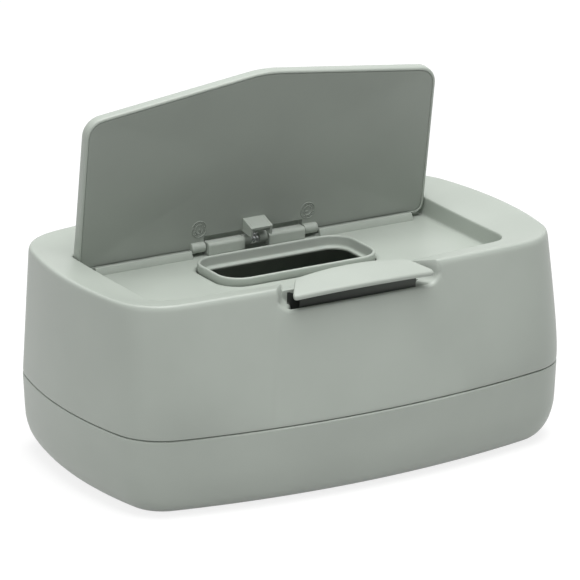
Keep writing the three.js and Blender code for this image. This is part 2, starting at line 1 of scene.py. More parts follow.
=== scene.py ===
# %% [markdown]
# A wipes box in grey green moulded plastic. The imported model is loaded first: it holds the
# real sizes, and every new piece below is a smooth surface laid over one of its solids.

# %% load the frame
import bpy
import math
import numpy as np
import bmesh
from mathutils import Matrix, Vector


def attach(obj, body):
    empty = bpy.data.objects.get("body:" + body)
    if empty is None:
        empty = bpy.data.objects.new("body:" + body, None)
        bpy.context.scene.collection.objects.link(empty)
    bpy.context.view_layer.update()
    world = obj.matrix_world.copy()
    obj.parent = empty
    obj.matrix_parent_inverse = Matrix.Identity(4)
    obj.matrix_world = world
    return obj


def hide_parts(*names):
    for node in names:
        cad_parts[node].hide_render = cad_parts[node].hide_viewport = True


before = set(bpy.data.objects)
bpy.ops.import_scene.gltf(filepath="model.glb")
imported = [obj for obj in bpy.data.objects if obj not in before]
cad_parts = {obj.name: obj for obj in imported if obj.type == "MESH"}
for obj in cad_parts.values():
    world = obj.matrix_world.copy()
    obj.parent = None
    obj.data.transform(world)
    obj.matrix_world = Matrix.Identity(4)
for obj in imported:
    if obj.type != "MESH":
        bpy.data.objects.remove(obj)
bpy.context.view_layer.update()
print("frame loaded with", len(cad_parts), "nodes")

# %% [markdown]
# The camera comes next, because the photograph fixes it: a long lens, thirty degrees to the
# left of the front and eighteen above. It aims at the middle of the box with its lid open.

# %% camera and light
AZIMUTH = math.radians(-30.27)
ELEVATION = math.radians(18.22)
DISTANCE = 2.792
AIM = np.array([-0.00147, -0.00221, 0.0816])
FOCAL_PIXELS = 5590.0
PHOTO_PIXELS = 580.0
SENSOR_MM = 36.0


def add_camera():
    """Camera on a sphere round the aim point; focal length in mm is pixels times sensor over frame."""
    away = np.array([math.sin(AZIMUTH) * math.cos(ELEVATION), -math.cos(AZIMUTH) * math.cos(ELEVATION),
                     math.sin(ELEVATION)])
    data = bpy.data.cameras.new("camera")
    data.sensor_width = SENSOR_MM
    data.lens = FOCAL_PIXELS * SENSOR_MM / PHOTO_PIXELS
    data.clip_end = 20.0
    camera = bpy.data.objects.new("camera", data)
    camera.location = AIM + away * DISTANCE
    camera.rotation_euler = (math.pi / 2 - ELEVATION, 0.0, AZIMUTH)
    bpy.context.scene.collection.objects.link(camera)
    bpy.context.scene.camera = camera


def add_area(name, place, aim, size, watts):
    """Square soft lamp at a place, turned so that its -Z axis points at the aim."""
    data = bpy.data.lights.new(name, "AREA")
    data.size = size
    data.energy = watts
    lamp = bpy.data.objects.new(name, data)
    lamp.location = place
    lamp.rotation_euler = (Vector(aim) - Vector(place)).to_track_quat("-Z", "Y").to_euler()
    bpy.context.scene.collection.objects.link(lamp)


add_camera()
add_area("top_lamp", (0.05, -0.14, 1.5), (0.0, 0.0, 0.08), 1.2, 28.0)
add_area("left_lamp", (-1.7, -0.8, 0.7), (0.0, 0.0, 0.08), 1.0, 5.5)

# %% [markdown]
# A white sweep stands under the box. The world is white to what is seen, also in reflections,
# and a plain grey to the light that falls on things, so the pale background never adds light
# to the plastic.

# %% world and floor
WORLD_STRENGTH = 0.26


def link(tree, source, target):
    """Joins two sockets of a node tree."""
    tree.links.new(source, target)


def seen_rays(tree):
    """One for camera, glossy and transmission rays, and nothing for the light that falls on the box."""
    path = tree.nodes.new("ShaderNodeLightPath")
    total = path.outputs["Is Camera Ray"]
    for kind in ("Is Glossy Ray", "Is Transmission Ray"):
        step = tree.nodes.new("ShaderNodeMath")
        step.operation = "ADD"
        step.use_clamp = True
        link(tree, total, step.inputs[0])
        link(tree, path.outputs[kind], step.inputs[1])
        total = step.outputs[0]
    return total


def make_world():
    """Background strength is one for camera, glossy and transmission rays, and lower otherwise."""
    world = bpy.data.worlds.new("studio")
    bpy.context.scene.world = world
    world.use_nodes = True
    tree = world.node_tree
    background = tree.nodes["Background"]
    background.inputs["Color"].default_value = (1.0, 1.0, 1.0, 1.0)
    seen = tree.nodes.new("ShaderNodeMapRange")
    seen.inputs["To Min"].default_value = WORLD_STRENGTH
    seen.inputs["To Max"].default_value = 1.0
    link(tree, seen_rays(tree), seen.inputs["Value"])
    link(tree, seen.outputs["Result"], background.inputs["Strength"])


def make_floor():
    """Large square at floor height, white to the camera except where the box shades it."""
    half = 3.0
    mesh = bpy.data.meshes.new("floor")
    corners = [(-half, -half, 0), (half, -half, 0), (half, half, 0), (-half, half, 0)]
    mesh.from_pydata(corners, [], [(0, 1, 2, 3)])
    floor = bpy.data.objects.new("floor", mesh)
    bpy.context.scene.collection.objects.link(floor)
    material = bpy.data.materials.new("floor_white")
    material.use_nodes = True
    tree = material.node_tree
    shader = tree.nodes["Principled BSDF"]
    shader.inputs["Base Color"].default_value = (0.62, 0.62, 0.62, 1.0)
    shader.inputs["Roughness"].default_value = 0.9
    glow = tree.nodes.new("ShaderNodeEmission")
    glow.inputs["Strength"].default_value = 1.35
    share = tree.nodes.new("ShaderNodeMath")
    share.operation = "MULTIPLY"
    share.inputs[1].default_value = 0.6
    mix = tree.nodes.new("ShaderNodeMixShader")
    link(tree, seen_rays(tree), share.inputs[0])
    link(tree, share.outputs[0], mix.inputs["Fac"])
    link(tree, shader.outputs[0], mix.inputs[1])
    link(tree, glow.outputs[0], mix.inputs[2])
    link(tree, mix.outputs[0], tree.nodes["Material Output"].inputs["Surface"])
    mesh.materials.append(material)


make_world()
make_floor()
bpy.context.scene.view_settings.view_transform = "Standard"

# %% [markdown]
# Moulded plastic with a spark-eroded finish: a fine grain that only breaks up the highlight,
# faint cloudiness in the colour, and a roughness that wanders a little. The grain is bump
# from noise on Object coordinates, because it must stay the same size on every piece.

# %% materials
def make_plastic(name, colour, roughness, grain=0.25, cloud=0.035):
    """Colour = base times (1 ± cloud · noise); roughness = mean ± 0.05 · noise; bump from fine noise."""
    material = bpy.data.materials.new(name)
    material.use_nodes = True
    tree = material.node_tree
    shader = tree.nodes["Principled BSDF"]
    shader.inputs["Specular IOR Level"].default_value = 0.42
    place = tree.nodes.new("ShaderNodeTexCoord")
    clouds = tree.nodes.new("ShaderNodeTexNoise")
    clouds.inputs["Scale"].default_value = 22.0
    clouds.inputs["Detail"].default_value = 3.0
    ramp = tree.nodes.new("ShaderNodeValToRGB")
    for stop, factor in ((0, 1.0 - cloud), (1, 1.0 + cloud)):
        ramp.color_ramp.elements[stop].color = (*[c * factor for c in colour], 1.0)
    ramp.color_ramp.elements[0].position = 0.3
    ramp.color_ramp.elements[1].position = 0.7
    rough = tree.nodes.new("ShaderNodeMapRange")
    rough.inputs["To Min"].default_value = roughness - 0.05
    rough.inputs["To Max"].default_value = roughness + 0.05
    fine = tree.nodes.new("ShaderNodeTexNoise")
    fine.inputs["Scale"].default_value = 2600.0
    fine.inputs["Detail"].default_value = 2.0
    bump = tree.nodes.new("ShaderNodeBump")
    bump.inputs["Strength"].default_value = grain
    bump.inputs["Distance"].default_value = 0.00006
    for node in (clouds, fine):
        link(tree, place.outputs["Object"], node.inputs["Vector"])
    link(tree, clouds.outputs["Fac"], ramp.inputs["Fac"])
    link(tree, ramp.outputs["Color"], shader.inputs["Base Color"])
    link(tree, clouds.outputs["Fac"], rough.inputs["Value"])
    link(tree, rough.outputs["Result"], shader.inputs["Roughness"])
    link(tree, fine.outputs["Fac"], bump.inputs["Height"])
    link(tree, bump.outputs["Normal"], shader.inputs["Normal"])
    return material


def make_steel():
    """Drawn wire: metal whose roughness follows noise stretched along the wire."""
    material = bpy.data.materials.new("drawn_steel")
    material.use_nodes = True
    tree = material.node_tree
    shader = tree.nodes["Principled BSDF"]
    shader.inputs["Base Color"].default_value = (0.62, 0.64, 0.64, 1.0)
    shader.inputs["Metallic"].default_value = 1.0
    place = tree.nodes.new("ShaderNodeTexCoord")
    stretch = tree.nodes.new("ShaderNodeMapping")
    stretch.inputs["Scale"].default_value = (40.0, 2500.0, 2500.0)
    noise = tree.nodes.new("ShaderNodeTexNoise")
    noise.inputs["Scale"].default_value = 1.0
    rough = tree.nodes.new("ShaderNodeMapRange")
    rough.inputs["To Min"].default_value = 0.22
    rough.inputs["To Max"].default_value = 0.45
    link(tree, place.outputs["Object"], stretch.inputs["Vector"])
    link(tree, stretch.outputs["Vector"], noise.inputs["Vector"])
    link(tree, noise.outputs["Fac"], rough.inputs["Value"])
    link(tree, rough.outputs["Result"], shader.inputs["Roughness"])
    return material


BOX_COLOUR = (0.398, 0.436, 0.393)
box_plastic = make_plastic("box_plastic", BOX_COLOUR, 0.42)
# painted shade: the liner is the box's plastic with its colour darkened to 0.74, for the shade on the lid's
# inner face
liner_plastic = make_plastic("liner_plastic", tuple(0.74 * c for c in BOX_COLOUR), 0.5)
rubber = make_plastic("foot_rubber", (0.05, 0.052, 0.052), 0.8, grain=0.5)
steel = make_steel()


def make_pocket_painted_shade_plastic():
    """The same plastic with painted shade in the pocket's depth, where little light comes: its colour is
    multiplied by
    0.10 + 2.2 (x + 0.036) + 9 (0.1025 - z), held between 0.08 and 0.5, x and z in metres."""
    material = make_plastic("pocket_painted_shade_plastic", BOX_COLOUR, 0.6)
    tree = material.node_tree
    shader = tree.nodes["Principled BSDF"]
    colour = shader.inputs["Base Color"].links[0].from_socket
    place = tree.nodes.new("ShaderNodeTexCoord")
    weights = tree.nodes.new("ShaderNodeVectorMath")
    weights.operation = "DOT_PRODUCT"
    weights.inputs[1].default_value = (2.2, 0.0, -9.0)
    start = tree.nodes.new("ShaderNodeMath")
    start.operation = "ADD"
    start.inputs[1].default_value = 0.10 + 2.2 * 0.036 + 9.0 * 0.1025
    held = tree.nodes.new("ShaderNodeClamp")
    held.inputs["Min"].default_value = 0.08
    held.inputs["Max"].default_value = 0.5
    shade = tree.nodes.new("ShaderNodeVectorMath")
    shade.operation = "SCALE"
    link(tree, place.outputs["Object"], weights.inputs[0])
    link(tree, weights.outputs["Value"], start.inputs[0])
    link(tree, start.outputs[0], held.inputs["Value"])
    link(tree, colour, shade.inputs[0])
    link(tree, held.outputs[0], shade.inputs["Scale"])
    link(tree, shade.outputs["Vector"], shader.inputs["Base Color"])
    shader.inputs["Specular IOR Level"].default_value = 0.15
    return material


pocket_painted_shade_plastic = make_pocket_painted_shade_plastic()

# %% [markdown]
# Nearly every piece is a skin of rings: lists of closed outlines stacked along a path, joined
# by quads. The helper takes an array of rings × points × 3, in millimetres, and closes it
# either by joining the last ring to the first or by a fan at each end.

# %% mesh helpers
MM = 0.001
TO_CENTRE = np.array([0.0, -3.1, 0.0])


def face_outward(mesh):
    """Turns every face round when the signed volume, the sum of a · (b × c) / 6, is negative."""
    work = bmesh.new()
    work.from_mesh(mesh)
    if work.calc_volume(signed=True) < 0:
        bmesh.ops.reverse_faces(work, faces=work.faces)
        work.to_mesh(mesh)
    work.free()


def finish_piece(name, mesh, body, nodes, material):
    """Object at the origin with shading, material, slot, body and the node it stands for."""
    piece = bpy.data.objects.new(name, mesh)
    bpy.context.scene.collection.objects.link(piece)
    mesh.materials.append(material)
    face_outward(mesh)
    mesh.shade_smooth()
    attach(piece, body)
    if nodes:
        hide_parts(*nodes)
    print(name, len(mesh.polygons), "faces")
    return piece


def ring_mesh(name, rings, closed=False):
    """Quads join ring r, point i to ring r+1, point i+1; a fan closes each end if not closed."""
    rings = np.asarray(rings, dtype=float)
    count, points = rings.shape[:2]
    vertices = rings.reshape(-1, 3)
    row = np.arange(count if closed else count - 1)
    a = (row[:, None] * points + np.arange(points)[None, :])
    b = (row[:, None] * points + (np.arange(points)[None, :] + 1) % points)
    c = (b + points) % (count * points)
    d = (a + points) % (count * points)
    quads = np.stack([a, b, c, d], -1).reshape(-1, 4)
    faces = [tuple(q) for q in quads.tolist()]
    if not closed:
        ends = np.stack([rings[0].mean(0), rings[-1].mean(0)])
        base = len(vertices)
        vertices = np.concatenate([vertices, ends])
        ring = np.arange(points)
        after = (ring + 1) % points
        last = (count - 1) * points
        faces += [(base, int(j), int(i)) for i, j in zip(ring, after)]
        faces += [(base + 1, int(i) + last, int(j) + last) for i, j in zip(ring, after)]
    mesh = bpy.data.meshes.new(name)
    mesh.from_pydata(((vertices + TO_CENTRE) * MM).tolist(), [], faces)
    mesh.update()
    return mesh


def ring(outline, z):
    """One flat ring at height z from an outline of [x, y]."""
    return np.column_stack([outline, np.full(len(outline), float(z))])

# %% [markdown]
# The box's plan is six arcs: long bows front and back, shallow bows at the ends and a tight
# corner between them. Each quarter is found from its three radii, as a draughtsman joins
# tangent arcs. The shell tapers from the outline at the parting line to the one at its top.

# %% outline of the box
PARTING = dict(half=130.0, front=79.2, back=85.4, front_arc=473.0, back_arc=565.0, end_arc=226.0,
               front_corner=28.8, back_corner=26.6, shift=0.0)
TOP = dict(half=126.9, front=64.5, back=84.2, front_arc=2000.0, back_arc=495.0, end_arc=208.0,
           front_corner=28.3, back_corner=31.9, shift=0.9)
PARTING_Z, TOP_Z, DECK_Z, FLOOR_Z = 41.0, 107.5, 103.1, 93.8
CENTRE = np.array([0.0, -2.0])


def quarter(a, b, long_arc, end_arc, corner, steps=24):
    """Tangent arcs from (0, b) to (a, 0): the corner's centre is where circles of radius
    long_arc - corner and end_arc - corner about the two large arcs' centres meet."""
    p, q = np.array([0.0, b - long_arc]), np.array([a - end_arc, 0.0])
    span = np.hypot(*(q - p))
    along = ((long_arc - corner) ** 2 - (end_arc - corner) ** 2 + span ** 2) / (2 * span)
    aside = math.sqrt(max((long_arc - corner) ** 2 - along ** 2, 0.0))
    unit = (q - p) / span
    side = np.array([-unit[1], unit[0]])
    options = [p + along * unit + aside * side, p + along * unit - aside * side]
    middle = max(options, key=lambda c: c.sum())
    first = math.atan2(*(middle - p)[::-1])
    last = math.atan2(*(middle - q)[::-1])
    parts = []
    for centre, radius, start, end in ((p, long_arc, math.pi / 2, first), (middle, corner, first, last),
                                       (q, end_arc, last, 0.0)):
        t = np.linspace(start, end, steps)
        parts.append(centre + radius * np.column_stack([np.cos(t), np.sin(t)]))
    return np.concatenate([parts[0], parts[1][1:], parts[2][1:]])


def box_outline(size, inset=0.0):
    """Whole outline, drawn in by inset, anticlockwise."""
    halves = []
    for depth, arc, corner in ((size["front"], size["front_arc"], size["front_corner"]),
                               (size["back"], size["back_arc"], size["back_corner"])):
        halves.append(quarter(size["half"] - inset, depth - inset, arc - inset, size["end_arc"] - inset,
                              corner - inset))
    right = np.concatenate([halves[0] * [1, -1], halves[1][::-1][1:]])
    left = (right * [-1, 1])[::-1][1:-1]
    return np.concatenate([right, left]) + [0.0, size["shift"]]


def size_at(z):
    """Every outline value moves evenly from the parting line to the top."""
    share = (z - PARTING_Z) / (TOP_Z - PARTING_Z)
    return {key: PARTING[key] + (TOP[key] - PARTING[key]) * share for key in PARTING}


def rounded(corners, steps=12):
    """Polygon whose corners [x, y, radius] are arcs tangent to both sides."""
    corners = np.array(corners, dtype=float)
    points = []
    for i, (x, y, radius) in enumerate(corners):
        here = np.array([x, y])
        back = corners[i - 1][:2] - here
        ahead = corners[(i + 1) % len(corners)][:2] - here
        back, ahead = back / np.hypot(*back), ahead / np.hypot(*ahead)
        half = math.acos(np.clip(back @ ahead, -1, 1)) / 2
        middle = (back + ahead) / np.hypot(*(back + ahead))
        centre = here + middle * radius / math.sin(half)
        start = here + back * radius / math.tan(half) - centre
        end = here + ahead * radius / math.tan(half) - centre
        a = math.atan2(start[1], start[0])
        turn = (math.atan2(end[1], end[0]) - a + math.pi) % (2 * math.pi) - math.pi
        t = a + turn * np.linspace(0, 1, steps)
        points.append(centre + radius * np.column_stack([np.cos(t), np.sin(t)]))
    return np.concatenate(points)


def at_angles(outline, angles, centre=CENTRE):
    """Points where rays from the centre at the given angles cross the outline: the distance
    along a side from p to q is cross(p, q - p) over cross(ray, q - p)."""
    p = outline - centre
    q = np.roll(p, -1, axis=0)
    ray = np.column_stack([np.cos(angles), np.sin(angles)])
    side = q - p
    down = ray[:, None, 0] * side[None, :, 1] - ray[:, None, 1] * side[None, :, 0]
    down = np.where(np.abs(down) < 1e-12, 1e-12, down)
    reach = (p[None, :, 0] * side[None, :, 1] - p[None, :, 1] * side[None, :, 0]) / down
    share = (p[None, :, 0] * ray[:, None, 1] - p[None, :, 1] * ray[:, None, 0]) / down
    hit = (share >= -1e-6) & (share <= 1 + 1e-6) & (reach > 0)
    distance = np.where(hit, reach, 0).max(1)
    return centre + distance[:, None] * ray


# %% [markdown]
# Outlines of the recess, the collar and the shut lid are rounded polygons with the same
# numbers as the solids: the lid's front edge is a shallow V that peaks at the button.

# %% outlines on the deck
AXIS_Y, AXIS_Z = 40.0, 98.0
LID_HALF, LID_SIDE, LID_PEAK = 100.6, 79.0, 92.0
LID_OPEN = math.radians(81.0)
RECESS_GAP, RECESS_REAR, RECESS_CORNER = 0.9, 5.5, 6.1


def lid_outline(grow=0.0, rear=0.0, corner=5.0, steps=14):
    """Five rounded corners: two at the back, two at the sides and the wide peak of the front's V."""
    back = AXIS_Y + 2.5 + grow + rear
    side = AXIS_Y - LID_SIDE - grow
    peak = AXIS_Y - LID_PEAK - grow
    half = LID_HALF + grow
    return rounded([[half, back, corner + grow], [-half, back, corner + grow], [-half, side, 10 + grow],
                    [0, peak, 70 + grow], [half, side, 10 + grow]], steps)


def recess_outline(grow=0.0):
    """The lid's outline with a gap all round and more room behind, where the hinge is."""
    return lid_outline(RECESS_GAP + grow, RECESS_REAR, RECESS_CORNER)


def collar_outline(inset=0.0):
    """Rounded rectangle round the slot, drawn in by inset."""
    low, high, half, corner = -14 + inset, 27.6 - inset, 45 - inset, 13 - inset
    return rounded([[half, high, corner], [-half, high, corner], [-half, low, corner], [half, low, corner]])

# %% [markdown]
# The upper shell is one skin. Its columns are rays from the middle of the plan, and its rows
# run up the wall, over the rim, down into the recess and across the floor to the slot, then
# back underneath. Columns through the finger pocket take another way over the same rows:
# they turn in at the pocket's lip, drop into its well and climb to the sill.

# %% upper shell
POCKET_EDGE = math.atan2(-64.0, 47.6)
WELL_EDGE = math.atan2(-57.0, 36.0)
LIP_Z, WELL_Z, SILL_Z = 96.4, 91.0, 103.4
WALL_LEVELS = (48, 56, 64, 72, 80, 87)
WALL = 2.2


def smoothstep(x):
    """3x² - 2x³ between 0 and 1."""
    x = np.clip(x, 0, 1)
    return x * x * (3 - 2 * x)


def shell_angles():
    """Even columns, plus close ones at both side walls of the pocket and of its well."""
    even = np.linspace(-math.pi, math.pi, 240, endpoint=False)
    steps = np.array([-0.03, -0.016, -0.006, 0.006, 0.016, 0.03])
    edges = np.array([POCKET_EDGE, -math.pi - POCKET_EDGE, WELL_EDGE, -math.pi - WELL_EDGE])
    close = (edges[:, None] + steps[None, :]).ravel()
    near = np.abs(even[:, None] - close[None, :]).min(1) < 0.009
    return np.sort(np.concatenate([even[~near], close]))


def depth_inside(plan):
    """Distance of each point to the nearest side of the shell's top outline."""
    p = box_outline(TOP)
    side = np.roll(p, -1, axis=0) - p
    share = ((plan[:, None] - p) * side).sum(-1) / np.maximum((side ** 2).sum(-1), 1e-12)
    foot = p + np.clip(share, 0, 1)[..., None] * side
    return np.linalg.norm(plan[:, None] - foot, axis=-1).min(1)


def deck_ring(plan, below=0.0):
    """The deck sinks from the rim: z = top - 4.4 (1 - (1 - t)^1.45), t = (distance - 2) / 24."""
    t = np.clip((depth_inside(plan) - 2.0) / 24.0, 0, 1)
    return np.column_stack([plan, TOP_Z - (TOP_Z - DECK_Z) * (1 - (1 - t) ** 1.45) - below])


def plain_rows(angles):
    """Rows of a plain column, from the foot of the wall over the rim to the edge of the recess."""
    rows = [(PARTING_Z + 0.35, 0.7), (PARTING_Z + 0.5, 0.25), (PARTING_Z + 1.0, 0.0)]
    rows += [(z, 0.0) for z in WALL_LEVELS + (93, 96.5, 99, 101.5, 103.7, 105.3)]
    rings = [ring(at_angles(box_outline(size_at(z), inset), angles), z) for z, inset in rows]
    for inset, z in ((0.2, 106.5), (0.7, 107.2), (1.7, 107.5)):
        rings.append(ring(at_angles(box_outline(TOP, inset), angles), z))
    outer = at_angles(box_outline(TOP, 3.2), angles)
    rim = at_angles(recess_outline(1.3), angles)
    rings += [deck_ring(outer + (rim - outer) * share) for share in (0.0, 0.33, 0.67, 1.0)]
    rings.append(deck_ring(at_angles(recess_outline(0.35), angles), 0.08))
    rings.append(deck_ring(at_angles(recess_outline(0.0), angles), 0.6))
    return np.array(rings)


def wall_ring(z, angles, inset=0.0):
    """Points of the tapering wall at heights that differ from column to column, by the
    parabola through the wall's outlines at its foot, middle and top."""
    z = np.asarray(z) * np.ones(len(angles))
    a, b, c = PARTING_Z, 74.0, TOP_Z
    low, mid, high = (at_angles(box_outline(size_at(level), inset), angles) for level in (a, b, c))
    plan = (low * ((z - b) * (z - c) / ((a - b) * (a - c)))[:, None]
            + mid * ((z - a) * (z - c) / ((b - a) * (b - c)))[:, None]
            + high * ((z - a) * (z - b) / ((c - a) * (c - b)))[:, None])
    return np.column_stack([plan, z])


def pocket_rows(angles):
    """Rows of a pocket column: wall up to the lip, over the lip, down the well, up to the sill.
    The lip rises at both ends by 9 - sqrt(81 - x²), x counted from 39 mm off the middle."""
    ray = np.column_stack([np.cos(angles), np.minimum(np.sin(angles), -0.2)])
    half = np.abs(at_angles(box_outline(size_at(LIP_Z)), angles)[:, 0])
    lip = LIP_Z + 9 - np.sqrt(81 - np.clip(half - 39.0, 0, 8.9) ** 2)
    mirrored = np.where(angles < -math.pi / 2, -math.pi - angles, angles)
    deep = smoothstep((WELL_EDGE + 0.01 - mirrored) / 0.02)
    rings = [wall_ring(PARTING_Z + up, angles, inset) for up, inset in ((0.35, 0.7), (0.5, 0.25), (1.0, 0.0))]
    rings += [wall_ring(z, angles) for z in WALL_LEVELS]
    rings.append(wall_ring(lip - 2.2, angles))
    for inset, drop in ((0.0, 1.2), (0.35, 0.4), (1.1, 0.0), (1.7, 0.0)):
        rings.append(np.column_stack([wall_ring(lip - drop, angles, inset)[:, :2], lip - drop]))
    for y, share in ((-63.9, 0.06), (-63.6, 0.2), (-63.5, 0.85), (-62.9, 1.0), (-57.0, 1.0), (-55.8, 0.97),
                     (-55.3, 0.8)):
        plan = CENTRE + ray * ((y - CENTRE[1]) / ray[:, 1])[:, None]
        rings.append(np.column_stack([plan, lip - share * deep * (lip - WELL_Z)]))
    for y, z in ((-55.1, SILL_Z - 0.7), (-54.7, SILL_Z)):
        plan = CENTRE + ray * ((y - CENTRE[1]) / ray[:, 1])[:, None]
        rings.append(ring(plan, z))
    rings.append(ring(at_angles(recess_outline(0.0), angles), SILL_Z - 0.5))
    return np.array(rings)


def inner_rows(angles):
    """Recess wall and floor to the slot, then the hidden underside back to the wall's foot."""
    rings = [ring(at_angles(recess_outline(grow), angles), z) for grow, z in
             ((-0.02, 100.5), (-0.05, 97.0), (-0.1, 94.8), (-0.35, 94.05), (-1.0, FLOOR_Z), (-3.0, FLOOR_Z))]
    hole = at_angles(collar_outline(-0.3), angles)
    outer = rings[-1][:, :2]
    rings += [ring(outer + (hole - outer) * share, FLOOR_Z) for share in (0.3, 0.6, 0.9, 1.0)]
    rings.append(ring(hole, FLOOR_Z - WALL))
    rings.append(ring(hole + (hole - CENTRE) * 0.03, 88.0))
    for z in (86.0, 60.0, PARTING_Z + 0.35):
        rings.append(ring(at_angles(box_outline(size_at(z), WALL), angles), z))
    return np.array(rings)


def paint_shade_in_well(piece):
    """Faces whose middle lies in the well take the pocket's plastic with painted shade."""
    data = piece.data
    data.materials.append(pocket_painted_shade_plastic)
    middle = np.empty(len(data.polygons) * 3)
    data.polygons.foreach_get("center", middle)
    x, y, z = (middle.reshape(-1, 3) / MM - TO_CENTRE).T
    inside = (np.abs(x) < 36.5) & (y > -64.2) & (y < -54.8) & (z > 90) & (z < 103)
    data.polygons.foreach_set("material_index", inside.astype(np.int32))
    print("faces in the well:", int(inside.sum()))


def make_shell():
    """Plain and pocket rows, chosen column by column, then the inner rows; smoothed once and cut."""
    angles = shell_angles()
    plain, pocket = plain_rows(angles), pocket_rows(angles)
    print("shell rows", len(plain), len(pocket), "columns", len(angles))
    folded = np.abs(angles + math.pi / 2) < math.pi / 2 + POCKET_EDGE
    upper = np.where(folded[None, :, None], pocket, plain)
    mesh = ring_mesh("upper_shell_skin", np.concatenate([upper, inner_rows(angles)]), closed=True)
    piece = finish_piece("upper_shell_skin", mesh, "box", ["upper_shell"], box_plastic)
    # painted shade: the well's faces take the plastic whose colour is darkened in the pocket's depth
    paint_shade_in_well(piece)
    smooth = piece.modifiers.new("smooth", "SUBSURF")
    smooth.levels = smooth.render_levels = 1
    return piece


shell = make_shell()

# %% [markdown]
# The tub is the same plan below the parting line, drawn in by a slight draft and then by a
# quarter ellipse at its foot. Its top edge is chamfered, so a fine shadow line shows where
# the shell stands on it.

# %% tub
def tub_inset(z):
    """Draft of 2 mm over the height, plus 14 mm · (1 - sqrt(1 - d²)), d = 1 - z / 22."""
    d = np.clip(1 - z / 22.0, 0, 1)
    return 2.0 * (1 - z / PARTING_Z) + 14.0 * (1 - np.sqrt(1 - d * d))


def flat_ring(inset, z, reach, angles):
    """Ring of a flat face: the outline at that inset, drawn to the middle by the factor reach."""
    edge = at_angles(box_outline(PARTING, inset), angles)
    return ring(CENTRE + (edge - CENTRE) * reach, z)


def make_tub():
    """Underside from its middle out, wall up to the top edge, spigot, then down inside."""
    angles = np.linspace(-math.pi, math.pi, 300, endpoint=False)
    rings = []
    for reach in (0.02, 0.4, 0.8, 0.97):
        rings.append(flat_ring(tub_inset(1.0), 1.0, reach, angles))
    for z in (1.05, 1.6, 2.6, 4.0, 6.0, 8.5, 11.5, 15.0, 19.0, 24.0, 30.0, 36.0, 39.8):
        rings.append(ring(at_angles(box_outline(PARTING, tub_inset(z)), angles), z))
    for inset, z in ((0.05, 40.4), (0.3, 40.8), (0.8, 41.0), (2.0, 41.0), (2.4, 41.4), (2.4, 44.6),
                     (2.7, 45.0), (3.8, 45.0), (4.1, 44.6), (4.1, 38.0)):
        rings.append(ring(at_angles(box_outline(PARTING, inset), angles), z))
    for z in (20.0, 8.0):
        rings.append(ring(at_angles(box_outline(PARTING, tub_inset(z) + 2.4), angles), z))
    for reach in (0.95, 0.6, 0.2):
        rings.append(flat_ring(tub_inset(4.0) + 4, 3.9, reach, angles))
    mesh = ring_mesh("base_tub_skin", rings)
    finish_piece("base_tub_skin", mesh, "box", ["base_tub"], box_plastic)


make_tub()

# %% [markdown]
# The collar round the slot is a low ring with a rolled top and a ledge inside near its foot.
# The inner edge of the ledge is what holds back the next wipe.

# %% slot collar
def make_collar():
    """Section carried round the outline: [inset, height] points from the foot up and back down."""
    section = [(0, 90.7), (0, 96.4), (0.12, 97.0), (0.45, 97.4), (0.85, 97.5), (1.25, 97.4), (1.58, 97.0),
               (1.7, 96.4), (1.72, 93.0), (1.9, 92.25), (2.3, 92.0), (3.6, 92.0), (4.0, 91.8), (4.1, 91.4),
               (4.1, 90.8), (3.9, 90.6), (0.2, 90.6)]
    angles = np.linspace(-math.pi, math.pi, 240, endpoint=False)
    centre = np.array([0.0, 6.8])
    rings = [ring(at_angles(collar_outline(inset), angles, centre), z) for inset, z in section]
    mesh = ring_mesh("slot_collar_skin", rings, closed=True)
    finish_piece("slot_collar_skin", mesh, "box", ["slot_collar"], box_plastic)


make_collar()

# %% [markdown]
# The lid is made shut and then turned open about the hinge axis, in the mesh, so its object
# stays at the origin. The cover is a domed slab whose edge rolls over. The liner is a plate set
# into it, slightly hollow, so that its shade changes from its middle to its edges; its colour is
# darkened as painted shade.

# %% lid
LID_CENTRE = np.array([0.0, -4.0])


def open_lid(points):
    """Turn about the X axis through the hinge by the angle at which the photograph shows it."""
    points = np.asarray(points, dtype=float).copy()
    y, z = points[..., 1] - AXIS_Y, points[..., 2] - AXIS_Z
    cos, sin = math.cos(LID_OPEN), math.sin(LID_OPEN)
    points[..., 1] = AXIS_Y + cos * y + sin * z
    points[..., 2] = AXIS_Z - sin * y + cos * z
    return points


def lid_ring(inset, z, angles, share=1.0):
    """Ring of the shut lid at height z: its outline drawn in by inset, then scaled by share."""
    edge = at_angles(lid_outline(-inset, steps=24), angles, LID_CENTRE)
    return ring(LID_CENTRE + (edge - LID_CENTRE) * share, z)


def make_lid_cover():
    """Underside frame, rim, rolled edge, then a crown that rises with 1 - share²."""
    angles = np.linspace(-math.pi, math.pi, 360, endpoint=False)
    rings = [lid_ring(1.6, 99.6, angles), lid_ring(1.55, 98.4, angles), lid_ring(1.4, 98.1, angles),
             lid_ring(1.1, 98.0, angles), lid_ring(0.6, 98.15, angles), lid_ring(0.2, 98.5, angles),
             lid_ring(0.03, 99.0, angles), lid_ring(0.0, 99.6, angles),
             lid_ring(0.0, 101.0, angles), lid_ring(0.0, 102.4, angles), lid_ring(0.25, 103.2, angles),
             lid_ring(0.8, 103.75, angles), lid_ring(1.8, 104.0, angles)]
    for share in (0.97, 0.9, 0.8, 0.65, 0.45, 0.25, 0.08, 0.01):
        rings.append(lid_ring(1.8, 104.0 + 2.6 * (1 - share ** 2) ** 0.9, angles, share))
    rings = [lid_ring(1.6, 102.1, angles, 0.02), lid_ring(1.6, 102.1, angles, 0.99)] + rings
    mesh = ring_mesh("lid_cover_skin", open_lid(rings))
    return finish_piece("lid_cover_skin", mesh, "lid", ["lid_cover"], box_plastic)


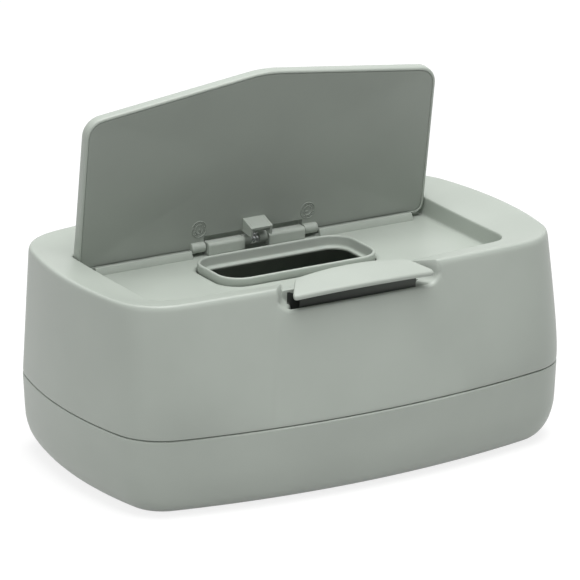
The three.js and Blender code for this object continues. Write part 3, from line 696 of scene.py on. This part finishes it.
def cut_block(low, high, lid=True):
    """Closed box mesh between two corners, turned open when it is to cut the lid."""
    x, y, z = np.meshgrid((low[0], high[0]), (low[1], high[1]), (low[2], high[2]), indexing="ij")
    corners = np.stack([x, y, z], -1).reshape(-1, 3)
    corners = ((open_lid(corners) if lid else corners) + TO_CENTRE) * MM
    faces = [(0, 1, 3, 2), (4, 6, 7, 5), (0, 4, 5, 1), (2, 3, 7, 6), (0, 2, 6, 4), (1, 5, 7, 3)]
    mesh = bpy.data.meshes.new("notch")
    mesh.from_pydata(corners.tolist(), [], faces)
    cutter = bpy.data.objects.new("notch", mesh)
    bpy.context.scene.collection.objects.link(cutter)
    return cutter


def cut(piece, cutter):
    """Boolean difference, applied at once so that no cutter stays in the scene."""
    change = piece.modifiers.new("notch", "BOOLEAN")
    change.operation = "DIFFERENCE"
    change.object = cutter
    change.solver = "EXACT"
    graph = bpy.context.evaluated_depsgraph_get()
    result = bpy.data.meshes.new_from_object(piece.evaluated_get(graph))
    piece.modifiers.clear()
    old = piece.data
    piece.data = result
    bpy.data.meshes.remove(old)
    result.name = piece.name
    result.set_sharp_from_angle(angle=math.radians(40))


NOTCH_HALF, NOTCH_FRONT = 28.6, AXIS_Y - 5.2
PORT_HALF, PORT_FRONT, PORT_BACK = 7.3, 26.5, AXIS_Y + 3.4
cover = make_lid_cover()
notch_cutter = cut_block((-NOTCH_HALF, NOTCH_FRONT, 90.0), (NOTCH_HALF, AXIS_Y + 10.0, 112.0))
cut(cover, notch_cutter)


LINER_Z, LINER_HOLLOW = 98.25, 2.5


def hollow(share):
    """Height of the liner's inner face: 98.25 + 2.5 (1 - share²), share from the middle to the edge."""
    return LINER_Z + LINER_HOLLOW * (1 - share ** 2)


def make_liner():
    """Plate whose inner face is slightly hollow, at the height that hollow() gives."""
    angles = np.linspace(-math.pi, math.pi, 360, endpoint=False)
    rings = [lid_ring(1.65, 101.8, angles, 0.02), lid_ring(1.65, 101.8, angles, 0.99),
             lid_ring(1.65, 101.4, angles), lid_ring(1.65, 98.6, angles), lid_ring(1.75, 98.35, angles),
             lid_ring(2.0, LINER_Z, angles)]
    for share in (0.99, 0.95, 0.88, 0.78, 0.66, 0.52, 0.38, 0.24, 0.1, 0.02):
        rings.append(lid_ring(2.0, hollow(share), angles, share))
    mesh = ring_mesh("lid_liner_skin", open_lid(rings)[::-1])
    # painted shade: the liner takes the box's plastic with a darkened colour
    return finish_piece("lid_liner_skin", mesh, "lid", ["lid_liner"], liner_plastic)


liner = make_liner()
cut(liner, notch_cutter)
bpy.data.objects.remove(notch_cutter)
floor_cutter = cut_block((-PORT_HALF, PORT_FRONT, 80.0), (PORT_HALF, PORT_BACK, 95.0), lid=False)
cut(shell, floor_cutter)
bpy.data.objects.remove(floor_cutter)

# %% [markdown]
# Small moulded parts are plates of constant section, softened by a bevel: the hood over the
# spring, the hinge blocks, the rails beside them and the knuckles on the lid. Each outline is
# drawn once in the side view and carried along X, because such ribs are moulded in that way.

# %% small sections
def section_piece(name, loops, low, high, body, nodes=None, material=box_plastic, bevel=0.35, lid=False):
    """Prism along X of a [y, z] loop with soft edges; turned open when it belongs to the lid."""
    loop = np.array(loops, dtype=float)
    rings = [np.column_stack([np.full(len(loop), x), loop]) for x in (low, high)]
    if lid:
        rings = open_lid(rings)
    mesh = ring_mesh(name, rings)
    piece = finish_piece(name, mesh, body, nodes, material)
    soften(piece, bevel)
    return piece


def soften(piece, width):
    """Weld fans into flat ends, then round every edge sharper than 40 degrees."""
    work = bmesh.new()
    work.from_mesh(piece.data)
    bmesh.ops.dissolve_limit(work, angle_limit=0.01, verts=work.verts, edges=work.edges)
    bmesh.ops.recalc_face_normals(work, faces=work.faces)
    work.to_mesh(piece.data)
    work.free()
    round_edges = piece.modifiers.new("soft_edges", "BEVEL")
    round_edges.width = width * MM
    round_edges.segments = 3
    round_edges.limit_method = "ANGLE"
    round_edges.angle_limit = math.radians(40)
    round_edges.harden_normals = True


def arc_points(centre, radius, start, end, steps=10):
    """Points of a circle between two angles in degrees."""
    t = np.radians(np.linspace(start, end, steps))
    return np.column_stack([centre[0] + radius * np.cos(t), centre[1] + radius * np.sin(t)])


BLOCK_LENGTH, BLOCK_ROUND, BLOCK_FRONT, BLOCK_BACK = 21.0, 2.0, AXIS_Y - 4.0, AXIS_Y + 3.4
RAIL_LENGTH, KNUCKLE_LENGTH, KNUCKLE_RADIUS = 55.0, 7.8, 2.7
SLEEVE_LENGTH, SLEEVE_RADIUS = 4.5, 2.75
HOOD_HALF, HOOD_WALL, HOOD_TOP_Z = 6.3, 1.3, 90.6


def make_hinge():
    """Two blocks with rounded tops, a rail at each side of them, and the lid's two knuckles."""
    top = AXIS_Z + 2.4
    bend_z = top - BLOCK_ROUND
    block = np.concatenate([[[BLOCK_FRONT, FLOOR_Z + 0.3], [BLOCK_BACK, FLOOR_Z + 0.3]],
                            arc_points((BLOCK_BACK - BLOCK_ROUND, bend_z), BLOCK_ROUND, 0, 90),
                            arc_points((BLOCK_FRONT + BLOCK_ROUND, bend_z), BLOCK_ROUND, 90, 180)])
    for side, low in (("left", -28.0), ("right", 7.0)):
        node = "hinge_block_" + side
        section_piece(node + "_skin", block, low, low + BLOCK_LENGTH, "box", [node])
    rail = [[35.8, FLOOR_Z - 0.3], [38.4, FLOOR_Z - 0.3], [38.4, 97.5], [37.4, 97.5], [35.8, 94.3]]
    knuckle = arc_points((AXIS_Y, AXIS_Z), KNUCKLE_RADIUS, 0, 360, 29)[:-1]
    for side, low, near in (("left", -92.0, -36.5), ("right", 37.0, 28.7)):
        section_piece("hinge_rail_" + side, rail, low, low + RAIL_LENGTH, "box", bevel=0.3)
        section_piece("lid_knuckle_" + side, knuckle, near, near + KNUCKLE_LENGTH, "lid", bevel=0.4, lid=True)


def make_barrels():
    """Two plastic sleeves over the ends of the coil."""
    sleeve = arc_points((AXIS_Y, AXIS_Z), SLEEVE_RADIUS, 0, 360, 29)[:-1]
    for side, low in (("left", -6.9), ("right", 2.4)):
        section_piece("hinge_sleeve_" + side, sleeve, low, low + SLEEVE_LENGTH, "box", bevel=0.4)


def make_hood():
    """Two cheeks and a bridge, open towards the hinge, with their feet sunk in the hollow liner."""
    foot = AXIS_Z + 2.0
    inner = HOOD_HALF - HOOD_WALL
    cheek = [[35.8, foot], [28.6, foot], [30.6, HOOD_TOP_Z], [35.4, HOOD_TOP_Z]]
    bridge = [[28.6 + HOOD_WALL, foot], [28.6, foot], [30.6, HOOD_TOP_Z], [30.6 + HOOD_WALL, HOOD_TOP_Z]]
    for name, loop, low, high in (("hood_cheek_left", cheek, -HOOD_HALF, -inner),
                                  ("hood_cheek_right", cheek, inner, HOOD_HALF),
                                  ("hood_bridge", bridge, -inner - 0.05, inner + 0.05)):
        section_piece(name, loop, low, high, "lid", bevel=0.2, lid=True)


make_hinge()
make_barrels()
make_hood()

# %% [markdown]
# The push button is a crowned tongue, wider at its front edge. One rounded section, seen from
# the end, is carried along X, and its height falls forwards and to both ends, as one closed
# skin can. A skirt behind it closes the finger pocket; it is a dark sheet with painted shade,
# standing in front of the pin and the ears. Two ears reach down to the pin, which two brackets
# on the box hold.

# %% push button
BUTTON_GAP = 1.6
BUTTON_BACK_Y = AXIS_Y - LID_PEAK - RECESS_GAP - BUTTON_GAP
BUTTON_REAR_HALF, BUTTON_FLARE, BUTTON_DEPTH, BUTTON_TOP_Z = 31.0, 10.0, 15.0, 110.4
BUTTON_HALF = BUTTON_REAR_HALF + BUTTON_FLARE
BUTTON_THICK, BUTTON_EDGE, BUTTON_CORNER = 2.6, 1.1, 3.0
BUTTON_PIN_Y, BUTTON_PIN_Z, EAR_LENGTH, EAR_RADIUS, BRACKET_LENGTH, SHADE_SKIRT_HALF = -59.0, 96.0, 4.0, 3.0, 3.0, 33.0


def button_section():
    """Rounded slab seen from the end: share along its length, offset at the ends, depth.
    It runs along the underside, round the back edge, forward over the top and down in front."""
    t = np.linspace(0, np.pi / 2, 6)
    along = np.linspace(0, 1, 14)
    r, thick = BUTTON_EDGE, BUTTON_THICK
    parts = [np.column_stack([along, 0 * along, 0 * along + thick]),
             np.column_stack([0 * t + 1, r * np.sin(t), thick - r + r * np.cos(t)])[1:],
             np.column_stack([0 * t + 1, r * np.cos(t), r - r * np.sin(t)])[:-1],
             np.column_stack([along[::-1], 0 * along, 0 * along]),
             np.column_stack([0 * t, -r * np.sin(t), r - r * np.cos(t)])[1:],
             np.column_stack([0 * t, -r * np.cos(t), thick - r + r * np.sin(t)])[:-1]]
    return np.concatenate(parts)


def round_in(e, radius):
    """How far a rounded end is drawn in at distance e from its tip: r - sqrt(r² - (r - e)²)."""
    return radius - np.sqrt(radius ** 2 - np.clip(radius - e, 0, radius) ** 2)


def make_button():
    """Sections along x, at distance e from an end: both ends are rounded in the plan and in the
    thickness. The top falls by 5 v^1.3 forwards and by 2 s² (1 - v / 2) to the ends, where s runs
    from -1 to 1 along the button and v from 0 at its back to 1 at its front."""
    share, offset, depth = button_section().T[:, None, :]
    e = np.concatenate([[0.02, 0.1, 0.25, 0.5, 0.8, 1.1, 1.7, 2.4, 3.2], np.linspace(4.5, BUTTON_HALF, 44)])
    s = np.concatenate([-1 + e / BUTTON_HALF, (1 - e / BUTTON_HALF)[::-1][1:]])[:, None]
    e = np.concatenate([e, e[::-1][1:]])[:, None]
    plan_in = round_in(e, BUTTON_CORNER)
    face_in = round_in(e, BUTTON_EDGE)
    back = BUTTON_BACK_Y + 1 - s * s - plan_in
    front = BUTTON_BACK_Y - BUTTON_DEPTH - 1.5 * (1 - s * s) + 1 - s * s + plan_in
    y = front + BUTTON_EDGE + share * (back - front - 2 * BUTTON_EDGE) + offset
    v = np.clip((BUTTON_BACK_Y - y) / BUTTON_DEPTH, 0, 1)
    x = s * (BUTTON_REAR_HALF + BUTTON_FLARE * v)
    top = BUTTON_TOP_Z - 5.0 * v ** 1.3 - 2.0 * s * s * (1 - 0.5 * v)
    z = top - face_in - depth * (1 - 2 * face_in / BUTTON_THICK)
    mesh = ring_mesh("release_button_skin", np.stack([x, y, z], -1))
    finish_piece("release_button_skin", mesh, "button", ["release_button"], box_plastic)
    ear = np.concatenate([[[BUTTON_PIN_Y + EAR_RADIUS, 108.2], [BUTTON_PIN_Y - EAR_RADIUS, 106.5]],
                          arc_points((BUTTON_PIN_Y, BUTTON_PIN_Z), EAR_RADIUS, 180, 360)])
    for side, low in (("left", -18.0), ("right", 14.0)):
        section_piece("button_ear_" + side, ear, low, low + EAR_LENGTH, "button", bevel=0.3)
    # painted shade: the skirt is a dark sheet across the pocket, in the pocket's darkened plastic
    shade_skirt = [[-62.3, 106.4], [-63.0, 106.2], [-63.0, 93.2], [-62.3, 93.2]]
    section_piece("button_shade_skirt", shade_skirt, -SHADE_SKIRT_HALF, SHADE_SKIRT_HALF, "button", material=pocket_painted_shade_plastic, bevel=0.2)
    bracket = [[-62, 90.7], [-56, 90.7], [-56, 97.5], [-57.5, 99], [-60.5, 99], [-62, 97.5]]
    for side, low in (("left", -21.6), ("right", 18.6)):
        section_piece("button_bracket_" + side, bracket, low, low + BRACKET_LENGTH, "box", bevel=0.3)


make_button()

# %% [markdown]
# Two small rings with ticks and a pointer are moulded on the lid's inner face, as on many
# moulded parts. They stand a few tenths of a millimetre proud of the liner, whose height at
# each of their points is worked out first, because its face is hollow.

# %% moulded dials
def on_liner(plan):
    """Height of the liner's hollow face at points [x, y]: share is a point's distance from the
    lid's middle over the edge's distance in the same direction."""
    plan = np.asarray(plan, dtype=float)
    flat = plan.reshape(-1, 2) - LID_CENTRE
    angles = np.arctan2(flat[:, 1], flat[:, 0])
    edge = at_angles(lid_outline(-2.0, steps=24), angles, LID_CENTRE) - LID_CENTRE
    share = np.linalg.norm(flat, axis=1) / np.linalg.norm(edge, axis=1)
    return hollow(share).reshape(plan.shape[:-1])


def tube_ring(centre, radius, wire, height, steps=40, sides=8):
    """Torus on the liner: circle of the radius about the centre, swept by a small half-sunk circle."""
    a = np.linspace(0, 2 * np.pi, steps, endpoint=False)[:, None]
    b = np.linspace(0, 2 * np.pi, sides, endpoint=False)[None, :]
    x = centre[0] + (radius + wire * np.cos(b)) * np.cos(a)
    y = centre[1] + (radius + wire * np.cos(b)) * np.sin(a)
    z = on_liner(np.stack([x, y], -1)) - height * np.sin(b)
    return np.stack([x, y, z], -1)


def make_dial(name, centre, pointer):
    """Two circles, eleven short ticks and a pointer, thirty degrees apart, as one mesh."""
    meshes = [ring_mesh("circle", open_lid(tube_ring(centre, r, 0.28, 0.3)), closed=True) for r in (4.2, 2.3)]
    work = bmesh.new()
    for mesh in meshes:
        work.from_mesh(mesh)
        bpy.data.meshes.remove(mesh)
    for i in range(12):
        angle = math.radians(30 * i + pointer)
        reach = (0.0, 2.0) if i == 0 else (2.9, 3.6)
        way = np.array([math.cos(angle), math.sin(angle)])
        aside = np.array([-way[1], way[0]]) * 0.2
        base = np.array(centre)
        plan = np.array([base + way * reach[0] - aside, base + way * reach[1] - aside,
                         base + way * reach[1] + aside, base + way * reach[0] + aside])
        low = np.column_stack([plan, on_liner(plan) - 0.3])
        high = np.column_stack([plan, on_liner(plan) + 0.6])
        tick = ring_mesh("tick", open_lid([low, high]))
        work.from_mesh(tick)
        bpy.data.meshes.remove(tick)
    bmesh.ops.recalc_face_normals(work, faces=work.faces)
    mesh = bpy.data.meshes.new(name)
    work.to_mesh(mesh)
    work.free()
    # painted shade: the dials take the liner's darkened plastic
    finish_piece(name, mesh, "lid", None, liner_plastic)


make_dial("moulded_dial_left", (-31.5, 30.5), 70.0)
make_dial("moulded_dial_right", (31.5, 30.5), 160.0)

# %% [markdown]
# The torsion spring is a fine helix round the hinge pin. Its tube is a circle carried along
# the helix, as whole arrays, with closed ends.

# %% spring
COIL_HALF, COIL_RADIUS, WIRE_RADIUS = 5.6, 1.95, 0.45


def make_coil():
    """Helix x = pitch · turn about the hinge axis; the wire's circle lies in its normal plane."""
    turns, steps, sides = 6.0, 240, 10
    t = np.linspace(0, 1, steps)
    angle = 2 * np.pi * turns * t - np.pi / 2
    path = np.column_stack([COIL_HALF * (2 * t - 1), AXIS_Y + COIL_RADIUS * np.cos(angle),
                            AXIS_Z + COIL_RADIUS * np.sin(angle)])
    outward = np.column_stack([0 * t, np.cos(angle), np.sin(angle)])
    along = np.gradient(path, axis=0)
    along /= np.linalg.norm(along, axis=1)[:, None]
    across = np.cross(along, outward)
    b = np.linspace(0, 2 * np.pi, sides, endpoint=False)[None, :, None]
    rings = path[:, None] + WIRE_RADIUS * (np.cos(b) * outward[:, None] + np.sin(b) * across[:, None])
    mesh = ring_mesh("hinge_spring_coil", rings)
    finish_piece("hinge_spring_coil", mesh, "box", ["hinge_spring"], steel)


make_coil()

# %% [markdown]
# Pins and feet keep their solids and only take their finish.

# %% finishes of kept solids
def dress(node, material):
    """Gives a kept solid its finish; its mesh is not touched."""
    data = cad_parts[node].data
    data.materials.clear()
    data.materials.append(material)


for kept in ("hinge_pin", "button_pin"):
    dress(kept, steel)
for kept in ("foot_front_left", "foot_front_right", "foot_rear_left", "foot_rear_right"):
    dress(kept, rubber)

# %% last update of the scene
bpy.context.view_layer.update()
